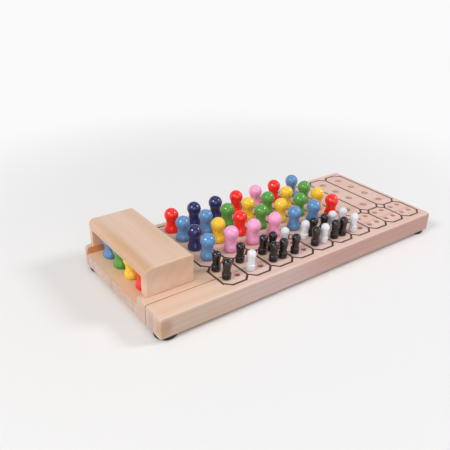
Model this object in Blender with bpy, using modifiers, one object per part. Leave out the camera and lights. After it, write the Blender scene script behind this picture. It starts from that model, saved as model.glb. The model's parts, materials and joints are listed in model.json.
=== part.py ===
"""Code breaking peg game.

A solid wood board on four feet. Ten rows of four peg holes run across it, each with a small field of
four score holes beside it. At one end a recess holds the secret code of four pegs, under a wooden
cover that lifts off. The frame is in metres with +Z up: X runs along the board from the cover's end,
Y across it from the score fields' side, and the origin lies on the table under the board's middle.
"""
import math

import bmesh
import bpy
from mathutils import Matrix, Vector

# Counts of holes
ROWS = 10
HOLES_IN_ROW = 4
SCORE_HOLES_ALONG = 2
SCORE_HOLES_ACROSS = 2

# Sides and steps of the round shapes
PEG_SIDES = 12
SCORE_PEG_SIDES = 10
HOLE_SIDES = 12
SCORE_HOLE_SIDES = 8
FOOT_SIDES = 24
HEAD_STEPS = 5
DOME_STEPS = 3
CORNER_STEPS = 4
EDGE_STEPS = 3
FINE_EDGE_STEPS = 2
BROW_STEPS = 5

# Running and seating clearances
SEAT_GAP = 0.0003
CUT_OVERRUN = 0.004
MERGE_DISTANCE = 0.000005

# A bevel's profile: this share makes it a quarter circle
ROUND_PROFILE_SHARE = 0.5

# The board
BOARD_LENGTH = 0.3090
BOARD_THICKNESS = 0.0180
BOARD_EDGE_RADIUS = 0.0018
BOARD_CORNER_RADIUS = 0.0027
SIDE_MARGIN = 0.0072
FAR_END_MARGIN = 0.0058
COVER_TO_ROWS = 0.0158
GLUE_LINE_TO_SCORE_HOLE = 0.0016

# The holes: four big ones across each row, and a field of small ones beside them
PEG_HOLE_DIAMETER = 0.0070
PEG_HOLE_SPARE_DEPTH = 0.0010
PEG_SPACE_BETWEEN = 0.0061
FIELD_END = 0.0125
SCORE_HOLE_DIAMETER = 0.0044
SCORE_HOLE_SPARE_DEPTH = 0.0010
SCORE_PITCH_Y = 0.0141
SCORE_INSET_NEAR = 0.0100
SCORE_INSET_FAR = 0.0070

# A score field's two columns of holes along the board, as shares of the pitch of the rows
SCORE_FIRST_COLUMN_SHARE = 0.2700
SCORE_COLUMN_SPACING_SHARE = 0.4300

# The big peg: a ball on a drawn-in waist and a flared foot, with a spigot under it
PEG_HEIGHT = 0.0224
PEG_HEAD_DIAMETER = 0.0128
PEG_WAIST_DIAMETER = 0.0094
PEG_WAIST_HEIGHT = 0.0089
PEG_BASE_DIAMETER = 0.0124
PEG_BASE_HEIGHT = 0.0032
PEG_BASE_EASE = 0.0016
PEG_SPIGOT_LENGTH = 0.0044
PEG_SPIGOT_EASE = 0.0006
SPIGOT_PLAY = 0.0003

# The score peg: a domed pin on a wider foot, with a spigot under it
SCORE_PEG_HEIGHT = 0.0178
SCORE_PEG_HEAD_DIAMETER = 0.0077
SCORE_PEG_WAIST_DIAMETER = 0.0061
SCORE_PEG_WAIST_HEIGHT = 0.0064
SCORE_PEG_FOOT_DIAMETER = 0.0077
SCORE_PEG_FOOT_HEIGHT = 0.0052
SCORE_PEG_FOOT_EASE = 0.0007
SCORE_PEG_SPIGOT_LENGTH = 0.0050
SCORE_PEG_SPIGOT_EASE = 0.0004

# The cover over the code
COVER_LENGTH = 0.0421
COVER_SETBACK = 0.0053
COVER_SPACE_BESIDE_CODE = 0.0088
COVER_WALL = 0.0070
COVER_FRONT_WALL = 0.0030
COVER_TOP = 0.0034
COVER_LINTEL_DEPTH = 0.0086
COVER_FAR_INSET = 0.0004
COVER_FRONT_RADIUS = 0.0044
COVER_EDGE_RADIUS = 0.0022
COVER_LIFT_OUT_PLAY = 0.0001

# The recess that the code stands in, a little wider than the cover is inside
RECESS_DEPTH = 0.0066
RECESS_SIDE_STEP = 0.0014
RECESS_CORNER_RADIUS = 0.0040
RECESS_BACK_LEDGE = 0.0040

# The feet
FOOT_DIAMETER = 0.0180
FOOT_HEIGHT = 0.0030
FOOT_EDGE_RADIUS = 0.0008
FOOT_INSET_X = 0.0096
FOOT_INSET_Y = 0.0096

# Sizes that follow from the ones above
PEG_HOLE_DEPTH = PEG_SPIGOT_LENGTH + PEG_HOLE_SPARE_DEPTH
PEG_SPIGOT_DIAMETER = PEG_HOLE_DIAMETER - 2 * SPIGOT_PLAY
SCORE_HOLE_DEPTH = SCORE_PEG_SPIGOT_LENGTH + SCORE_HOLE_SPARE_DEPTH
SCORE_SPIGOT_DIAMETER = SCORE_HOLE_DIAMETER - 2 * SPIGOT_PLAY

CODE_END_LENGTH = COVER_SETBACK + COVER_LENGTH + COVER_TO_ROWS
ROW_PITCH = (BOARD_LENGTH - CODE_END_LENGTH - FAR_END_MARGIN) / ROWS
PEG_PITCH = PEG_HEAD_DIAMETER + PEG_SPACE_BETWEEN
SCORE_PITCH_X = ROW_PITCH * SCORE_COLUMN_SPACING_SHARE
SCORE_FIELD_WIDTH = SCORE_INSET_NEAR + SCORE_PITCH_Y + SCORE_INSET_FAR
CODE_FIELD_WIDTH = 2 * FIELD_END + (HOLES_IN_ROW - 1) * PEG_PITCH
BOARD_WIDTH = 2 * SIDE_MARGIN + SCORE_FIELD_WIDTH + CODE_FIELD_WIDTH
BOARD_LEFT = -BOARD_LENGTH / 2
BOARD_NEAR = -BOARD_WIDTH / 2
BOARD_FAR = BOARD_WIDTH / 2
BOARD_BOTTOM = FOOT_HEIGHT + SEAT_GAP
BOARD_TOP = BOARD_BOTTOM + BOARD_THICKNESS
RECESS_FLOOR = BOARD_TOP - RECESS_DEPTH
ROWS_LEFT = BOARD_LEFT + CODE_END_LENGTH
FIRST_ROW_X = ROWS_LEFT + ROW_PITCH / 2
FIRST_SCORE_X = ROWS_LEFT + ROW_PITCH * SCORE_FIRST_COLUMN_SHARE
FIRST_PEG_Y = BOARD_NEAR + SIDE_MARGIN + SCORE_FIELD_WIDTH + FIELD_END
FIRST_SCORE_Y = BOARD_NEAR + SIDE_MARGIN + SCORE_INSET_NEAR
GLUE_LINE_Y = FIRST_SCORE_Y + SCORE_HOLE_DIAMETER / 2 + GLUE_LINE_TO_SCORE_HOLE

COVER_LEFT = BOARD_LEFT + COVER_SETBACK
COVER_RIGHT = COVER_LEFT + COVER_LENGTH
COVER_FAR = BOARD_FAR - COVER_FAR_INSET
COVER_INNER_FAR = COVER_FAR - COVER_WALL
COVER_INNER_NEAR = FIRST_PEG_Y - PEG_HEAD_DIAMETER / 2 - COVER_SPACE_BESIDE_CODE
COVER_NEAR = COVER_INNER_NEAR - COVER_WALL
COVER_BOTTOM = BOARD_TOP + SEAT_GAP
CODE_PEG_TOP = RECESS_FLOOR + SEAT_GAP + PEG_HEIGHT
COVER_CEILING = CODE_PEG_TOP + PEG_SPIGOT_LENGTH + COVER_LIFT_OUT_PLAY
COVER_CREST = COVER_CEILING + COVER_TOP
COVER_HEIGHT = COVER_CREST - COVER_BOTTOM
COVER_LINTEL_BOTTOM = COVER_CREST - COVER_LINTEL_DEPTH
COVER_INNER_LEFT = COVER_LEFT + COVER_FRONT_WALL
COVER_INNER_RIGHT = COVER_RIGHT - COVER_WALL
RECESS_RIGHT = COVER_INNER_RIGHT - RECESS_BACK_LEDGE
RECESS_NEAR = COVER_INNER_NEAR - RECESS_SIDE_STEP
RECESS_FAR = COVER_INNER_FAR + RECESS_SIDE_STEP
CODE_PEG_X = COVER_INNER_LEFT + SEAT_GAP + PEG_HEAD_DIAMETER / 2

# Colours: base colour in linear light, roughness, metallic
FINISHES = {
    "natural_wood": ((0.72, 0.50, 0.33), 0.55, 0.0),
    "cover_wood": ((0.74, 0.53, 0.36), 0.55, 0.0),
    "edge_strip_wood": ((0.70, 0.49, 0.32), 0.55, 0.0),
    "foot_rubber": ((0.03, 0.025, 0.02), 0.8, 0.0),
    "red": ((0.80, 0.03, 0.01), 0.2, 0.0),
    "dark_blue": ((0.01, 0.02, 0.14), 0.2, 0.0),
    "light_blue": ((0.16, 0.33, 0.54), 0.2, 0.0),
    "yellow": ((0.85, 0.52, 0.04), 0.2, 0.0),
    "green": ((0.10, 0.35, 0.06), 0.2, 0.0),
    "pink": ((0.85, 0.35, 0.60), 0.2, 0.0),
    "black": ((0.01, 0.01, 0.012), 0.2, 0.0),
    "white": ((0.80, 0.80, 0.82), 0.25, 0.0),
}

# The secret code and the guesses, from the near hole to the far one
CODE = ("red", "yellow", "green", "light_blue")
GUESSES = (
    ("light_blue", "dark_blue", "light_blue", "red"),
    ("pink", "yellow", "light_blue", "dark_blue"),
    ("pink", "red", "green", "dark_blue"),
    ("pink", "green", "yellow", "red"),
    ("light_blue", "yellow", "green", "pink"),
    ("light_blue", "green", "yellow", "red"),
    ("red", "yellow", "green", "light_blue"),
)

# The score pegs of each guess, by hole: (along the board, across it)
NEAR_LEFT = (0, 0)
NEAR_RIGHT = (1, 0)
FAR_LEFT = (0, 1)
FAR_RIGHT = (1, 1)
SCORES = (
    ((FAR_LEFT, "black"), (NEAR_LEFT, "black")),
    ((FAR_LEFT, "black"), (NEAR_LEFT, "white")),
    ((FAR_LEFT, "black"), (NEAR_LEFT, "black"), (NEAR_RIGHT, "black"), (FAR_RIGHT, "black")),
    ((FAR_LEFT, "white"), (NEAR_LEFT, "black")),
    ((FAR_LEFT, "white"), (NEAR_LEFT, "black"), (NEAR_RIGHT, "white"), (FAR_RIGHT, "black")),
    ((FAR_LEFT, "black"), (NEAR_LEFT, "black"), (NEAR_RIGHT, "black"), (FAR_RIGHT, "white")),
    ((FAR_LEFT, "white"), (NEAR_LEFT, "white")),
)


def clear_scene():
    """Remove what the file opened with, and make the two collections."""
    for leftover in list(bpy.data.objects):
        bpy.data.objects.remove(leftover, do_unlink=True)
    collections = []
    for name in ("code_breaking_peg_game", "cutters"):
        collection = bpy.data.collections.new(name)
        bpy.context.scene.collection.children.link(collection)
        collections.append(collection)
    return collections


def make_materials():
    """One Principled material for each finish."""
    materials = {}
    for name, (colour, roughness, metallic) in FINISHES.items():
        material = bpy.data.materials.new(name)
        material.use_nodes = True
        shader = material.node_tree.nodes["Principled BSDF"]
        shader.inputs["Base Color"].default_value = (*colour, 1.0)
        shader.inputs["Roughness"].default_value = roughness
        shader.inputs["Metallic"].default_value = metallic
        material.diffuse_color = (*colour, 1.0)
        materials[name] = material
    return materials


def add_object(name, mesh, collection, place=(0, 0, 0)):
    """Link a mesh as a named object at its place."""
    piece = bpy.data.objects.new(name, mesh)
    collection.objects.link(piece)
    piece.location = place
    return piece


def hide_cutter(cutter):
    """A cutter shows as wire and never renders."""
    cutter.display_type = "WIRE"
    cutter.hide_render = True
    return cutter


def box_form(low, high):
    """A bmesh box between two corners, given in its object's own frame."""
    form = bmesh.new()
    size = Vector(high) - Vector(low)
    middle = (Vector(high) + Vector(low)) / 2
    stretch = Matrix.Diagonal((*size, 1.0))
    bmesh.ops.create_cube(form, size=1.0, matrix=Matrix.Translation(middle) @ stretch)
    return form


def form_to_mesh(form, name):
    """Turn a bmesh into a mesh and free it."""
    mesh = bpy.data.meshes.new(name)
    form.to_mesh(mesh)
    form.free()
    return mesh


def bevel_edges(form, radius, segments, wanted):
    """Round the edges of a bmesh that the test picks."""
    edges = [edge for edge in form.edges if wanted(edge)]
    bmesh.ops.bevel(
        form,
        geom=edges,
        offset=radius,
        segments=segments,
        profile=ROUND_PROFILE_SHARE,
        affect="EDGES",
        clamp_overlap=True,
    )


def is_upright(edge):
    """Whether an edge runs along Z."""
    start, end = (vertex.co for vertex in edge.verts)
    return abs(start.x - end.x) + abs(start.y - end.y) < MERGE_DISTANCE


def is_level_rim(edge):
    """Whether an edge lies level on the rim of a block's top or bottom."""
    start, end = (vertex.co for vertex in edge.verts)
    return abs(start.z - end.z) < MERGE_DISTANCE


def cut(piece, cutter, operation="DIFFERENCE"):
    """Add an exact Boolean to a piece."""
    boolean = piece.modifiers.new(f"{operation.lower()}_{cutter.name}", "BOOLEAN")
    boolean.operation = operation
    boolean.solver = "EXACT"
    boolean.object = cutter


def row_x(row):
    """The middle of a row of holes, along the board."""
    return FIRST_ROW_X + row * ROW_PITCH


def peg_y(hole):
    """A big hole's place across the board, counted from the near side."""
    return FIRST_PEG_Y + hole * PEG_PITCH


def score_place(row, along, across):
    """A score hole's place in its row's field."""
    return FIRST_SCORE_X + row * ROW_PITCH + along * SCORE_PITCH_X, FIRST_SCORE_Y + across * SCORE_PITCH_Y


def make_hole_cutter(collection):
    """One cutter for every blind hole in the board."""
    form = bmesh.new()

    def drill(x, y, surface, diameter, depth, sides):
        height = depth + CUT_OVERRUN
        middle = Matrix.Translation((x, y, surface - depth + height / 2))
        bmesh.ops.create_cone(
            form,
            cap_ends=True,
            segments=sides,
            radius1=diameter / 2,
            radius2=diameter / 2,
            depth=height,
            matrix=middle,
        )

    for row in range(ROWS):
        for hole in range(HOLES_IN_ROW):
            drill(row_x(row), peg_y(hole), BOARD_TOP, PEG_HOLE_DIAMETER, PEG_HOLE_DEPTH, HOLE_SIDES)
        for along in range(SCORE_HOLES_ALONG):
            for across in range(SCORE_HOLES_ACROSS):
                x, y = score_place(row, along, across)
                drill(x, y, BOARD_TOP, SCORE_HOLE_DIAMETER, SCORE_HOLE_DEPTH, SCORE_HOLE_SIDES)
    for hole in range(HOLES_IN_ROW):
        drill(CODE_PEG_X, peg_y(hole), RECESS_FLOOR, PEG_HOLE_DIAMETER, PEG_HOLE_DEPTH, HOLE_SIDES)
    return hide_cutter(add_object("hole_cutter", form_to_mesh(form, "hole_cutter"), collection))


def make_recess_cutter(collection):
    """The routed recess at the code's end, open at the board's left face."""
    form = box_form(
        (BOARD_LEFT - CUT_OVERRUN, RECESS_NEAR, RECESS_FLOOR),
        (RECESS_RIGHT, RECESS_FAR, BOARD_TOP + CUT_OVERRUN),
    )
    bevel_edges(
        form,
        RECESS_CORNER_RADIUS,
        EDGE_STEPS,
        lambda edge: is_upright(edge) and edge.verts[0].co.x > RECESS_RIGHT - MERGE_DISTANCE,
    )
    return hide_cutter(add_object("recess_cutter", form_to_mesh(form, "recess_cutter"), collection))


def make_stave(name, near, far, material, parts, cutters, tools):
    """One glued stave of the board: the whole blank, cut and kept between two sides."""
    form = box_form(
        (BOARD_LEFT, BOARD_NEAR, BOARD_BOTTOM),
        (BOARD_LEFT + BOARD_LENGTH, BOARD_FAR, BOARD_TOP),
    )
    bevel_edges(form, BOARD_CORNER_RADIUS, CORNER_STEPS, is_upright)
    bevel_edges(form, BOARD_EDGE_RADIUS, EDGE_STEPS, is_level_rim)
    mesh = form_to_mesh(form, name)
    mesh.materials.append(material)
    stave = add_object(name, mesh, parts)
    keep_form = box_form(
        (BOARD_LEFT - CUT_OVERRUN, near, BOARD_BOTTOM - CUT_OVERRUN),
        (BOARD_LEFT + BOARD_LENGTH + CUT_OVERRUN, far, BOARD_TOP + CUT_OVERRUN),
    )
    keep_name = f"{name}_keep"
    keep = hide_cutter(add_object(keep_name, form_to_mesh(keep_form, keep_name), cutters))
    cut(stave, keep, "INTERSECT")
    for tool in tools:
        cut(stave, tool)
    return stave


def arc_points(centre_z, radius, start, end, steps):
    """Profile points on a ball, by angle up from its equator, in degrees."""
    points = []
    for step in range(steps + 1):
        angle = math.radians(start + (end - start) * step / steps)
        points.append((radius * math.cos(angle), centre_z + radius * math.sin(angle)))
    return points


def peg_profile():
    """The big peg's outer side from the top of the ball to the spigot's end, with z = 0 at its seat."""
    head = PEG_HEAD_DIAMETER / 2
    waist = PEG_WAIST_DIAMETER / 2
    base = PEG_BASE_DIAMETER / 2
    spigot = PEG_SPIGOT_DIAMETER / 2
    neck_angle = -math.degrees(math.acos((head + waist) / 2 / head))
    points = arc_points(PEG_HEIGHT - head, head, 90.0, neck_angle, HEAD_STEPS)
    points[0] = (0.0, PEG_HEIGHT)
    points += [
        (waist, PEG_WAIST_HEIGHT),
        (base, PEG_BASE_HEIGHT),
        (base - PEG_BASE_EASE, 0.0),
        (spigot, 0.0),
        (spigot, PEG_SPIGOT_EASE - PEG_SPIGOT_LENGTH),
        (spigot - PEG_SPIGOT_EASE, -PEG_SPIGOT_LENGTH),
        (0.0, -PEG_SPIGOT_LENGTH),
    ]
    return points


def score_peg_profile():
    """The score peg's outer side from the top of its dome to the spigot's end, with z = 0 at its seat."""
    head = SCORE_PEG_HEAD_DIAMETER / 2
    waist = SCORE_PEG_WAIST_DIAMETER / 2
    foot = SCORE_PEG_FOOT_DIAMETER / 2
    spigot = SCORE_SPIGOT_DIAMETER / 2
    points = arc_points(SCORE_PEG_HEIGHT - head, head, 90.0, 0.0, DOME_STEPS)
    points[0] = (0.0, SCORE_PEG_HEIGHT)
    points += [
        (waist, SCORE_PEG_WAIST_HEIGHT),
        (foot, SCORE_PEG_FOOT_HEIGHT),
        (foot - SCORE_PEG_FOOT_EASE, 0.0),
        (spigot, 0.0),
        (spigot, SCORE_PEG_SPIGOT_EASE - SCORE_PEG_SPIGOT_LENGTH),
        (spigot - SCORE_PEG_SPIGOT_EASE, -SCORE_PEG_SPIGOT_LENGTH),
        (0.0, -SCORE_PEG_SPIGOT_LENGTH),
    ]
    return points


def profile_mesh(name, points, material):
    """A turned piece's profile as a chain of edges in the XZ plane."""
    mesh = bpy.data.meshes.new(name)
    chain = [(index, index + 1) for index in range(len(points) - 1)]
    mesh.from_pydata([(x, 0.0, z) for x, z in points], chain, [])
    mesh.materials.append(material)
    return mesh


def add_turned(name, mesh, sides, place, collection):
    """A peg: its profile turned about Z by a Screw modifier, standing at its place."""
    peg = add_object(name, mesh, collection, place)
    screw = peg.modifiers.new("turning", "SCREW")
    screw.axis = "Z"
    screw.angle = math.tau
    screw.steps = sides
    screw.render_steps = sides
    screw.use_merge_vertices = True
    screw.merge_threshold = MERGE_DISTANCE
    screw.use_smooth_shade = True
    return peg


def make_pegs(materials, parts):
    """The code, the guesses and their scores."""
    colours = sorted({colour for pegs in (CODE, *GUESSES) for colour in pegs})
    peg_meshes = {
        colour: profile_mesh(f"{colour}_peg", peg_profile(), materials[colour]) for colour in colours
    }
    score_meshes = {
        colour: profile_mesh(f"{colour}_score_peg", score_peg_profile(), materials[colour])
        for colour in ("black", "white")
    }
    for hole, colour in enumerate(CODE):
        place = (CODE_PEG_X, peg_y(hole), RECESS_FLOOR + SEAT_GAP)
        add_turned(f"code_peg_{hole + 1}_{colour}", peg_meshes[colour], PEG_SIDES, place, parts)
    for row, guess in enumerate(GUESSES):
        for hole, colour in enumerate(guess):
            place = (row_x(row), peg_y(hole), BOARD_TOP + SEAT_GAP)
            name = f"row{row + 1}_peg_{hole + 1}_{colour}"
            add_turned(name, peg_meshes[colour], PEG_SIDES, place, parts)
    for row, score in enumerate(SCORES):
        for number, ((along, across), colour) in enumerate(score):
            x, y = score_place(row, along, across)
            name = f"row{row + 1}_score_{number + 1}_{colour}"
            place = (x, y, BOARD_TOP + SEAT_GAP)
            add_turned(name, score_meshes[colour], SCORE_PEG_SIDES, place, parts)


def make_cover(material, parts, cutters):
    """The hollow cover: a block with a rounded top, routed out from below and open to the left."""
    middle = Vector(((COVER_LEFT + COVER_RIGHT) / 2, (COVER_NEAR + COVER_FAR) / 2, COVER_BOTTOM))
    form = box_form(
        Vector((COVER_LEFT, COVER_NEAR, COVER_BOTTOM)) - middle,
        Vector((COVER_RIGHT, COVER_FAR, COVER_BOTTOM + COVER_HEIGHT)) - middle,
    )
    left = COVER_LEFT - middle.x

    def is_front_top(edge):
        points = [vertex.co for vertex in edge.verts]
        on_top = min(point.z for point in points) > COVER_HEIGHT - MERGE_DISTANCE
        return on_top and max(point.x for point in points) < left + MERGE_DISTANCE

    def is_outer_corner(edge):
        points = [vertex.co for vertex in edge.verts]
        off_floor = max(point.z for point in points) > MERGE_DISTANCE
        return off_floor and edge.calc_face_angle(0.0) > math.radians(45)

    bevel_edges(form, COVER_FRONT_RADIUS, BROW_STEPS, is_front_top)
    bevel_edges(form, COVER_EDGE_RADIUS, FINE_EDGE_STEPS, is_outer_corner)
    mesh = form_to_mesh(form, "cover")
    mesh.materials.append(material)
    cover = add_object("cover", mesh, parts, middle)

    cavity_form = box_form(
        (COVER_INNER_LEFT, COVER_INNER_NEAR, COVER_BOTTOM - CUT_OVERRUN),
        (COVER_INNER_RIGHT, COVER_INNER_FAR, COVER_CEILING),
    )
    mouth_form = box_form(
        (COVER_LEFT - CUT_OVERRUN, COVER_INNER_NEAR, COVER_BOTTOM - CUT_OVERRUN),
        ((COVER_INNER_LEFT + COVER_INNER_RIGHT) / 2, COVER_INNER_FAR, COVER_LINTEL_BOTTOM),
    )
    for name, tool_form in (("cover_cavity", cavity_form), ("cover_mouth", mouth_form)):
        cut(cover, hide_cutter(add_object(name, form_to_mesh(tool_form, name), cutters)))
    return cover


def make_feet(material, parts):
    """Four round feet under the corners."""
    form = bmesh.new()
    bmesh.ops.create_cone(
        form,
        cap_ends=True,
        segments=FOOT_SIDES,
        radius1=FOOT_DIAMETER / 2,
        radius2=FOOT_DIAMETER / 2,
        depth=FOOT_HEIGHT,
        matrix=Matrix.Translation((0, 0, FOOT_HEIGHT / 2)),
    )
    bevel_edges(
        form,
        FOOT_EDGE_RADIUS,
        FINE_EDGE_STEPS,
        lambda edge: max(vertex.co.z for vertex in edge.verts) < MERGE_DISTANCE,
    )
    mesh = form_to_mesh(form, "foot")
    mesh.materials.append(material)
    for side, x in (("left", BOARD_LEFT + FOOT_INSET_X), ("right", -BOARD_LEFT - FOOT_INSET_X)):
        for edge, y in (("near", BOARD_NEAR + FOOT_INSET_Y), ("far", BOARD_FAR - FOOT_INSET_Y)):
            add_object(f"foot_{edge}_{side}", mesh, parts, (x, y, 0))


def main():
    """Build the whole game."""
    parts, cutters = clear_scene()
    materials = make_materials()
    holes = make_hole_cutter(cutters)
    recess = make_recess_cutter(cutters)
    strip_far = GLUE_LINE_Y - SEAT_GAP / 2
    panel_near = GLUE_LINE_Y + SEAT_GAP / 2
    past_near = BOARD_NEAR - CUT_OVERRUN
    past_far = BOARD_FAR + CUT_OVERRUN
    wood = materials["natural_wood"]
    strip_wood = materials["edge_strip_wood"]
    make_stave("board_panel", panel_near, past_far, wood, parts, cutters, (recess, holes))
    make_stave("board_edge_strip", past_near, strip_far, strip_wood, parts, cutters, (holes,))
    make_cover(materials["cover_wood"], parts, cutters)
    make_feet(materials["foot_rubber"], parts)
    make_pegs(materials, parts)
    print(f"board {BOARD_LENGTH:.4f} x {BOARD_WIDTH:.4f} m, {len(parts.objects)} pieces")


main()
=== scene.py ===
# %% [markdown]
# # A wooden code breaking game, dressed for its portrait
# The game is a thick wooden board on four small feet. Ten rows of holes run across it, turned pegs stand
# in seven of them, and a hollow wooden cover hides the code at the left end. The solids of the game are
# already there, plain, at their real size. This script gives each of them its fine shape and its finish,
# lights them softly, and sets up the camera. We load the solids first, because every place below is
# measured from them.

# %% Load the plain solids
import json
import math
import random

import bmesh
import bpy
from mathutils import Matrix, Vector


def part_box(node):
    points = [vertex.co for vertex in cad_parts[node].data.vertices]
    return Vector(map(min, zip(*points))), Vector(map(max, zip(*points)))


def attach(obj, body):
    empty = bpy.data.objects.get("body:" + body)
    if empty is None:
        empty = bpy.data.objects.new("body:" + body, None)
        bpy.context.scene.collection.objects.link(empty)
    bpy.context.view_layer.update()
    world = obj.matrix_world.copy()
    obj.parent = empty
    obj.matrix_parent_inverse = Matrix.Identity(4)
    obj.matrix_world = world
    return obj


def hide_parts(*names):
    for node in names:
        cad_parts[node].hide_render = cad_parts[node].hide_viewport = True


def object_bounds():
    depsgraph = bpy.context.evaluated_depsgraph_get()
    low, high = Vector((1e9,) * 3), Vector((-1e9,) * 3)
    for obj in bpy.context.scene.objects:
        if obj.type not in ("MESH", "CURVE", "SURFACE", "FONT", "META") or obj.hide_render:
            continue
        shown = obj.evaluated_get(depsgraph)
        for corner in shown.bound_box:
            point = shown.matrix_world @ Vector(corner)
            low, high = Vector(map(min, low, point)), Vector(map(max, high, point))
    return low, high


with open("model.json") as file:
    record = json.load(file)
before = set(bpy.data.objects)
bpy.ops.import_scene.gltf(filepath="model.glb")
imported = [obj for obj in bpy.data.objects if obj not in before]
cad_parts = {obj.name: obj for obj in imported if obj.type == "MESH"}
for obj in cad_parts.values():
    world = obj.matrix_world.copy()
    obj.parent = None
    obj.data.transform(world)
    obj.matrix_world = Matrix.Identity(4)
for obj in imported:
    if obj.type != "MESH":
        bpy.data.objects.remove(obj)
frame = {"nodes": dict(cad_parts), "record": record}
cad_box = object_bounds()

nodes_of_part = sorted(frame["nodes"])
slot_of_node = {part["node"]: part["material_slot"] for part in frame["record"]["subparts"]}
print(len(nodes_of_part), "solids between", *([round(v, 4) for v in corner] for corner in cad_box))

# %% [markdown]
# ## The camera
# The game was photographed from beyond its left near corner, a little above eye level for someone seated
# at the table. We write the camera as a place and three directions: where its right side, its top and its
# back point. Those three make the columns of its rotation, so nothing has to be aimed by trial. The lens
# is short of normal, which makes the near corner large and lets the far end run away.

# %% Place the camera
CAMERA_PLACE = Vector((-0.30362, -0.33100, 0.25399))
CAMERA_RIGHT = Vector((0.80497, -0.59267, 0.02764))
CAMERA_UP = Vector((0.25298, 0.38499, 0.88757))
CAMERA_BACK = Vector((-0.53667, -0.70748, 0.45984))
LENS_MM = 43.73
SENSOR_MM = 36.0

turn = Matrix((CAMERA_RIGHT, CAMERA_UP, CAMERA_BACK)).transposed().to_4x4()
camera_data = bpy.data.cameras.new("camera")
camera_data.lens = LENS_MM
camera_data.sensor_width = SENSOR_MM
camera_data.clip_start = 0.01
camera = bpy.data.objects.new("camera", camera_data)
camera.matrix_world = Matrix.Translation(CAMERA_PLACE) @ turn
bpy.context.scene.collection.objects.link(camera)
bpy.context.scene.camera = camera
print("camera stands", round((CAMERA_PLACE - (cad_box[0] + cad_box[1]) / 2).length, 3), "m from the game")

# %% [markdown]
# ## Helpers for modelling
# Operators act on whatever is selected, so each piece starts with nothing selected. In edit mode we pick
# faces and edges by where they lie and which way they point, as one would with the mouse. These few
# helpers hold the steps that every piece repeats.

# %% Select by place and apply
MM = 0.001
NEAR_ENOUGH = 0.00002
UPRIGHT_TILT = 0.01


def start_clean():
    """Leave object mode with nothing selected."""
    if bpy.context.object and bpy.context.object.mode != "OBJECT":
        bpy.ops.object.mode_set(mode="OBJECT")
    bpy.ops.object.select_all(action="DESELECT")


def choose(piece):
    """Make one object the only selected one, and active."""
    start_clean()
    piece.select_set(True)
    bpy.context.view_layer.objects.active = piece


def edit(piece, kind):
    """Enter edit mode on one piece, selecting faces, edges or vertices, with nothing picked yet."""
    choose(piece)
    bpy.ops.object.mode_set(mode="EDIT")
    bpy.ops.mesh.select_mode(type=kind)
    bpy.ops.mesh.select_all(action="DESELECT")


def pick(piece, wanted):
    """In edit mode, select the elements that pass a test, and return how many did."""
    form = bmesh.from_edit_mesh(piece.data)
    kinds = {"FACE": form.faces, "EDGE": form.edges, "VERT": form.verts}
    kind = next(name for name in kinds if name in form.select_mode)
    found = [element for element in kinds[kind] if wanted(element)]
    for element in found:
        element.select_set(True)
    form.select_flush_mode()
    bmesh.update_edit_mesh(piece.data)
    return len(found)


def pick_only(piece, kind, wanted):
    """In edit mode, drop the selection, and then pick elements of one kind."""
    bpy.ops.mesh.select_mode(type=kind)
    bpy.ops.mesh.select_all(action="DESELECT")
    return pick(piece, wanted)


def leave_edit():
    bpy.ops.object.mode_set(mode="OBJECT")


def add_block(name, low, high):
    """A box between two corners, with its place in its mesh."""
    start_clean()
    low, high = Vector(low), Vector(high)
    bpy.ops.mesh.primitive_cube_add(size=1.0, location=(low + high) / 2, scale=high - low)
    bpy.ops.object.transform_apply(location=True, rotation=True, scale=True)
    block = bpy.context.object
    block.name = name
    return block


def add_disc(name, radius, depth, sides, bottom):
    """An upright cylinder round the Z axis, from the height of its bottom."""
    start_clean()
    place = (0, 0, bottom + depth / 2)
    bpy.ops.mesh.primitive_cylinder_add(vertices=sides, radius=radius, depth=depth, location=place)
    bpy.ops.object.transform_apply(location=True, rotation=True, scale=True)
    disc = bpy.context.object
    disc.name = name
    return disc


def round_edges(radius, segments):
    """Bevel the picked edges to a quarter circle."""
    bpy.ops.mesh.bevel(offset=radius, segments=segments, profile=0.5, affect="EDGES", clamp_overlap=True)


def carve(piece, cutter, operation="DIFFERENCE"):
    """Cut one mesh with another, exactly, and apply it."""
    choose(piece)
    boolean = piece.modifiers.new("carve", "BOOLEAN")
    boolean.operation = operation
    boolean.solver = "EXACT"
    boolean.object = cutter
    bpy.ops.object.modifier_apply(modifier=boolean.name)


def shade_round(piece, degrees=40):
    """Shade soft across gentle angles only, and keep the flat faces looking flat."""
    choose(piece)
    bpy.ops.object.shade_smooth_by_angle(angle=math.radians(degrees))
    weighted = piece.modifiers.new("flat_faces", "WEIGHTED_NORMAL")
    weighted.keep_sharp = True
    bpy.ops.object.modifier_apply(modifier=weighted.name)


def discard(piece):
    """Remove a cutter or a pattern piece with its mesh."""
    mesh = piece.data
    bpy.data.objects.remove(piece)
    bpy.data.meshes.remove(mesh)


def finish_piece(piece, body, nodes):
    """Hang a finished piece on the empty of the body it moves with, and hide the solids it stands for."""
    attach(piece, body)
    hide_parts(*nodes)


def corners_of(element):
    """The corners of a face or an edge."""
    return [vertex.co for vertex in element.verts]


def is_upright(edge):
    """An edge whose two ends lie at different heights."""
    first, second = corners_of(edge)
    return abs(first.z - second.z) > NEAR_ENOUGH


# %% [markdown]
# ## Where things are
# The rows and columns of holes are read off the solids of the pegs that stand in them. The first and the
# seventh row give the pitch of the rows, and the four pegs of a row give the pitch across. The board's top
# is the level that everything stands on.

# %% Measure the plan of the board


def middle(node):
    low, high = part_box(node)
    return (low + high) / 2


def peg_node(row, hole):
    start = f"row{row}_peg_{hole}_"
    return next(node for node in nodes_of_part if node.startswith(start))


panel_low, panel_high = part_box("board_panel")
strip_low, strip_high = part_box("board_edge_strip")
board_low = Vector((panel_low.x, strip_low.y, panel_low.z))
board_high = Vector(panel_high)
BOARD_TOP = board_high.z

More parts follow.
